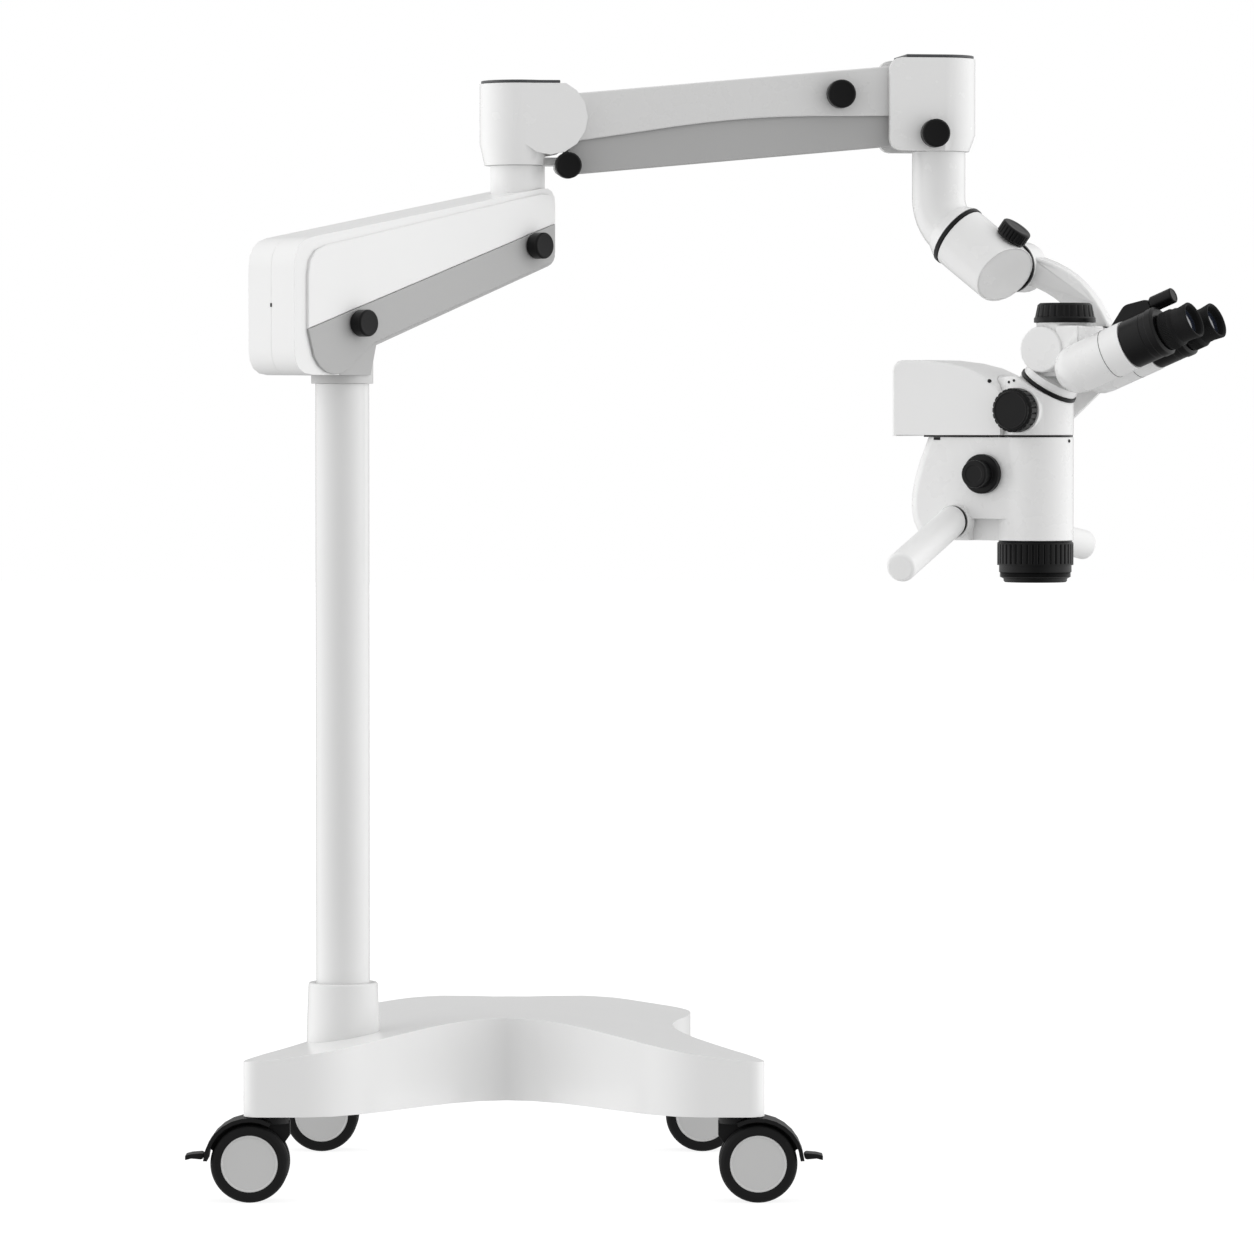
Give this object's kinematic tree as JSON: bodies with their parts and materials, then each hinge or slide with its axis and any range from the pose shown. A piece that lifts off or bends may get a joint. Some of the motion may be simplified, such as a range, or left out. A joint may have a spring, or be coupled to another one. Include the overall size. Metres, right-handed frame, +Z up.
{
  "type": "surgical microscope",
  "caption": "Surgical microscope on a floor stand: X-shaped base on casters, column, swivel arm, spring-balanced parallel arm, yoke and optical head with a tilting binocular.",
  "frame": {"origin": "on the floor, under the middle of the whole stand's outline", "axes": "+Z up; +X along the stand from the column to the eyepieces; +Y away from the side that carries the brake knobs"},
  "size_m": [1.3587, 0.6853, 1.4878],
  "materials": {
    "base_paint": "white enamel on cast aluminium",
    "column_paint": "white enamel on steel tube",
    "cover_white": "white moulded covers",
    "arm_paint": "white enamel on aluminium",
    "grey_trim": "grey satin plastic",
    "frame_grey": "light grey satin",
    "black_plastic": "black satin plastic",
    "black_metal": "black anodised",
    "wheel_rubber": "black tyre with a light hub disc",
    "pin_steel": "ground steel",
    "lens_glass": "coated lens"
  },
  "bodies": {
    "stand": {"base_casting": "base_paint", "column_sleeve": "column_paint", "column_tube": "column_paint"},
    "caster_near_left": {"fork_near_left": "black_plastic"},
    "caster_wheel_near_left": {"wheel_near_left": "wheel_rubber"},
    "caster_near_right": {"fork_near_right": "black_plastic"},
    "caster_wheel_near_right": {"wheel_near_right": "wheel_rubber"},
    "caster_far_left": {"fork_far_left": "black_plastic"},
    "caster_wheel_far_left": {"wheel_far_left": "wheel_rubber"},
    "caster_far_right": {"fork_far_right": "black_plastic"},
    "caster_wheel_far_right": {"wheel_far_right": "wheel_rubber"},
    "pedal_near_left": {"brake_pedal_near_left": "black_plastic"},
    "pedal_near_right": {"brake_pedal_near_right": "black_plastic"},
    "lower_arm": {"lower_arm_frame": "frame_grey", "arm_cover_near": "cover_white", "arm_cover_far": "cover_white", "arm_trim_near": "grey_trim", "arm_trim_far": "grey_trim"},
    "shoulder": {"shoulder_housing": "arm_paint", "shoulder_cap": "black_plastic", "shoulder_upper_pin": "pin_steel", "shoulder_lower_pin": "pin_steel"},
    "upper_arm": {"upper_link": "arm_paint", "gas_spring_cylinder": "black_metal", "gas_spring_rod": "pin_steel"},
    "lower_parallel_link": {"lower_link": "grey_trim"},
    "front": {"front_housing": "arm_paint", "front_cap": "black_plastic", "front_upper_pin": "pin_steel", "front_lower_pin": "pin_steel"},
    "elbow": {"elbow_tube": "arm_paint"},
    "roll_block": {"roll_housing": "arm_paint"},
    "yoke": {"yoke_arm": "arm_paint"},
    "head": {"head_carrier": "arm_paint", "upper_body": "arm_paint", "lower_body": "arm_paint", "light_housing": "cover_white", "objective_lens": "lens_glass", "interface_ring": "black_metal", "binocular_base": "arm_paint"},
    "objective": {"objective_ring": "black_metal"},
    "handle_near_grip": {"handle_near": "cover_white"},
    "handle_far_grip": {"handle_far": "cover_white"},
    "binocular": {"binocular_body": "arm_paint", "eye_bridge": "black_plastic"},
    "eye_tube_near_body": {"eye_tube_near": "black_metal"},
    "eyepiece_near_body": {"eyepiece_near": "black_plastic"},
    "eye_tube_far_body": {"eye_tube_far": "black_metal"},
    "eyepiece_far_body": {"eyepiece_far": "black_plastic"},
    "column_brake": {"column_brake_knob": "black_plastic"},
    "shoulder_brake": {"shoulder_brake_knob": "black_plastic"},
    "lift_lock": {"lift_lock_knob": "black_plastic"},
    "spring_adjust": {"spring_adjust_knob": "black_plastic"},
    "front_brake": {"front_brake_knob": "black_plastic"},
    "roll_lock": {"roll_lock_knob": "black_plastic"},
    "magnification": {"magnification_knob": "black_plastic"},
    "filter": {"filter_knob": "black_plastic"},
    "focus": {"focus_knob": "black_plastic"},
    "port_cover": {"port_cap": "black_plastic"},
    "eye_distance_dial": {"eye_distance_knob": "black_plastic"}
  },
  "joints": [
    {"name": "swivel_near_left", "type": "hinge", "parent": "stand", "child": "caster_near_left", "pos_m": [-0.5667, -0.3147, 0.105], "axis": [0, 0, 1], "continuous": true},
    {"name": "roll_near_left", "type": "hinge", "parent": "caster_near_left", "child": "caster_wheel_near_left", "pos_m": [-0.5967, -0.3147, 0.05], "axis": [0, 1, 0], "continuous": true},
    {"name": "swivel_near_right", "type": "hinge", "parent": "stand", "child": "caster_near_right", "pos_m": [0.0223, -0.3147, 0.105], "axis": [0, 0, 1], "continuous": true},
    {"name": "roll_near_right", "type": "hinge", "parent": "caster_near_right", "child": "caster_wheel_near_right", "pos_m": [0.0523, -0.3147, 0.05], "axis": [0, 1, 0], "continuous": true},
    {"name": "swivel_far_left", "type": "hinge", "parent": "stand", "child": "caster_far_left", "pos_m": [-0.5022, 0.2433, 0.105], "axis": [0, 0, 1], "continuous": true},
    {"name": "roll_far_left", "type": "hinge", "parent": "caster_far_left", "child": "caster_wheel_far_left", "pos_m": [-0.5322, 0.2433, 0.05], "axis": [0, 1, 0], "continuous": true},
    {"name": "swivel_far_right", "type": "hinge", "parent": "stand", "child": "caster_far_right", "pos_m": [-0.0422, 0.2433, 0.105], "axis": [0, 0, 1], "continuous": true},
    {"name": "roll_far_right", "type": "hinge", "parent": "caster_far_right", "child": "caster_wheel_far_right", "pos_m": [-0.0122, 0.2433, 0.05], "axis": [0, 1, 0], "continuous": true},
    {"name": "brake_near_left", "type": "hinge", "parent": "caster_near_left", "child": "pedal_near_left", "pos_m": [-0.65938, -0.3147, 0.05881], "axis": [0, -1, 0], "range_deg": [0, 14]},
    {"name": "brake_near_right", "type": "hinge", "parent": "caster_near_right", "child": "pedal_near_right", "pos_m": [0.11498, -0.3147, 0.05881], "axis": [0, 1, 0], "range_deg": [0, 14]},
    {"name": "column_swivel", "type": "hinge", "parent": "stand", "child": "lower_arm", "pos_m": [-0.4852, -0.1527, 1.045], "axis": [0, 0, 1], "range_deg": [-120, 120]},
    {"name": "shoulder_swivel", "type": "hinge", "parent": "lower_arm", "child": "shoulder", "pos_m": [-0.26128, 0.08244, 1.337], "axis": [0, 0, 1], "range_deg": [-50, 100]},
    {"name": "arm_lift", "type": "hinge", "parent": "shoulder", "child": "upper_arm", "pos_m": [-0.22365, 0.08773, 1.4005], "axis": [0.1392, -0.9903, 0], "range_deg": [-26, 20]},
    {"name": "lower_link_hinge", "type": "hinge", "parent": "shoulder", "child": "lower_parallel_link", "pos_m": [-0.19939, 0.09114, 1.3365], "axis": [0.1392, -0.9903, 0], "range_deg": [-26, 20]},
    {"name": "front_level", "type": "hinge", "parent": "upper_arm", "child": "front", "pos_m": [0.24472, 0.15355, 1.44438], "axis": [0.1392, -0.9903, 0], "range_deg": [-20, 26]},
    {"name": "elbow_swivel", "type": "hinge", "parent": "front", "child": "elbow", "pos_m": [0.30512, 0.16204, 1.359], "axis": [0, 0, 1], "range_deg": [-70, 80]},
    {"name": "inclined_swivel", "type": "hinge", "parent": "elbow", "child": "roll_block", "pos_m": [0.32884, 0.14834, 1.24736], "axis": [0.6916, -0.3993, -0.6018], "range_deg": [-45, 45]},
    {"name": "yoke_tilt", "type": "hinge", "parent": "roll_block", "child": "yoke", "pos_m": [0.40224, 0.16255, 1.20481], "axis": [0.5, 0.866, 0], "range_deg": [-25, 20]},
    {"name": "head_tilt", "type": "hinge", "parent": "yoke", "child": "head", "pos_m": [0.52616, 0.12449, 1.085], "axis": [0.5, 0.866, 0], "range_deg": [-30, 20]},
    {"name": "objective_focus", "type": "hinge", "parent": "head", "child": "objective", "pos_m": [0.43173, 0.08894, 0.81], "axis": [0, 0, 1], "range_deg": [-150, 150]},
    {"name": "handle_near_turn", "type": "hinge", "parent": "head", "child": "handle_near_grip", "pos_m": [0.32146, 0.08794, 0.862], "axis": [0.5, 0.866, 0], "range_deg": [-40, 40]},
    {"name": "handle_far_turn", "type": "hinge", "parent": "head", "child": "handle_far_grip", "pos_m": [0.37746, 0.18494, 0.862], "axis": [0.5, 0.866, 0], "range_deg": [-40, 40]},
    {"name": "binocular_incline", "type": "hinge", "parent": "head", "child": "binocular", "pos_m": [0.45598, 0.07494, 1.092], "axis": [-0.5, -0.866, 0], "range_deg": [0, 45]},
    {"name": "eye_distance_near", "type": "hinge", "parent": "binocular", "child": "eye_tube_near_body", "pos_m": [0.54949, -0.01946, 1.09697], "axis": [0.803, -0.4636, 0.3746], "range_deg": [-20, 20]},
    {"name": "dioptre_near", "type": "hinge", "parent": "eye_tube_near_body", "child": "eyepiece_near_body", "pos_m": [0.59414, -0.04524, 1.11349], "axis": [0.803, -0.4636, 0.3746], "range_deg": [-150, 150]},
    {"name": "eye_distance_far", "type": "hinge", "parent": "binocular", "child": "eye_tube_far_body", "pos_m": [0.58449, 0.04117, 1.09697], "axis": [0.803, -0.4636, 0.3746], "range_deg": [-20, 20]},
    {"name": "dioptre_far", "type": "hinge", "parent": "eye_tube_far_body", "child": "eyepiece_far_body", "pos_m": [0.62914, 0.01538, 1.11349], "axis": [0.803, -0.4636, 0.3746], "range_deg": [-150, 150]},
    {"name": "column_brake_turn", "type": "hinge", "parent": "lower_arm", "child": "column_brake", "pos_m": [-0.45961, -0.19833, 1.123], "axis": [-0.7242, 0.6896, 0], "range_deg": [-180, 180]},
    {"name": "shoulder_brake_turn", "type": "hinge", "parent": "lower_arm", "child": "shoulder_brake", "pos_m": [-0.2359, 0.03659, 1.2294], "axis": [-0.7242, 0.6896, 0], "range_deg": [-180, 180]},
    {"name": "lift_lock_turn", "type": "hinge", "parent": "shoulder", "child": "lift_lock", "pos_m": [-0.19452, 0.05648, 1.3365], "axis": [-0.1392, 0.9903, 0], "range_deg": [-180, 180]},
    {"name": "spring_adjust_turn", "type": "hinge", "parent": "upper_arm", "child": "spring_adjust", "pos_m": [0.17013, 0.10672, 1.43391], "axis": [-0.1392, 0.9903, 0], "range_deg": [-180, 180]},
    {"name": "front_brake_turn", "type": "hinge", "parent": "front", "child": "front_brake", "pos_m": [0.29693, 0.10535, 1.3817], "axis": [-0.1392, 0.9903, 0], "range_deg": [-180, 180]},
    {"name": "roll_lock_turn", "type": "hinge", "parent": "roll_block", "child": "roll_lock", "pos_m": [0.40173, 0.10626, 1.24655], "axis": [0.5212, -0.3009, 0.7986], "range_deg": [-180, 180]},
    {"name": "magnification_turn", "type": "hinge", "parent": "head", "child": "magnification", "pos_m": [0.40174, 0.03698, 1.011], "axis": [0.5, 0.866, 0], "range_deg": [-120, 120]},
    {"name": "filter_turn", "type": "hinge", "parent": "head", "child": "filter", "pos_m": [0.35997, 0.07264, 0.926], "axis": [0.5, 0.866, 0], "range_deg": [-90, 90]},
    {"name": "focus_turn", "type": "hinge", "parent": "head", "child": "focus", "pos_m": [0.46174, 0.1409, 0.926], "axis": [0.5, 0.866, 0], "continuous": true},
    {"name": "port_cover_turn", "type": "hinge", "parent": "binocular", "child": "port_cover", "pos_m": [0.46897, 0.06744, 1.13], "axis": [0, 0, 1], "range_deg": [0, 270]},
    {"name": "eye_distance_dial_turn", "type": "hinge", "parent": "binocular", "child": "eye_distance_dial", "pos_m": [0.58483, 0.00055, 1.15275], "axis": [0.803, -0.4636, 0.3746], "range_deg": [-120, 120]}
  ],
  "couplings": [
    {"joint": "lower_link_hinge", "follows": "arm_lift", "ratio": 1},
    {"joint": "front_level", "follows": "arm_lift", "ratio": -1},
    {"joint": "eye_distance_far", "follows": "eye_distance_near", "ratio": -1},
    {"joint": "eye_distance_dial_turn", "follows": "eye_distance_near", "ratio": 6}
  ]
}
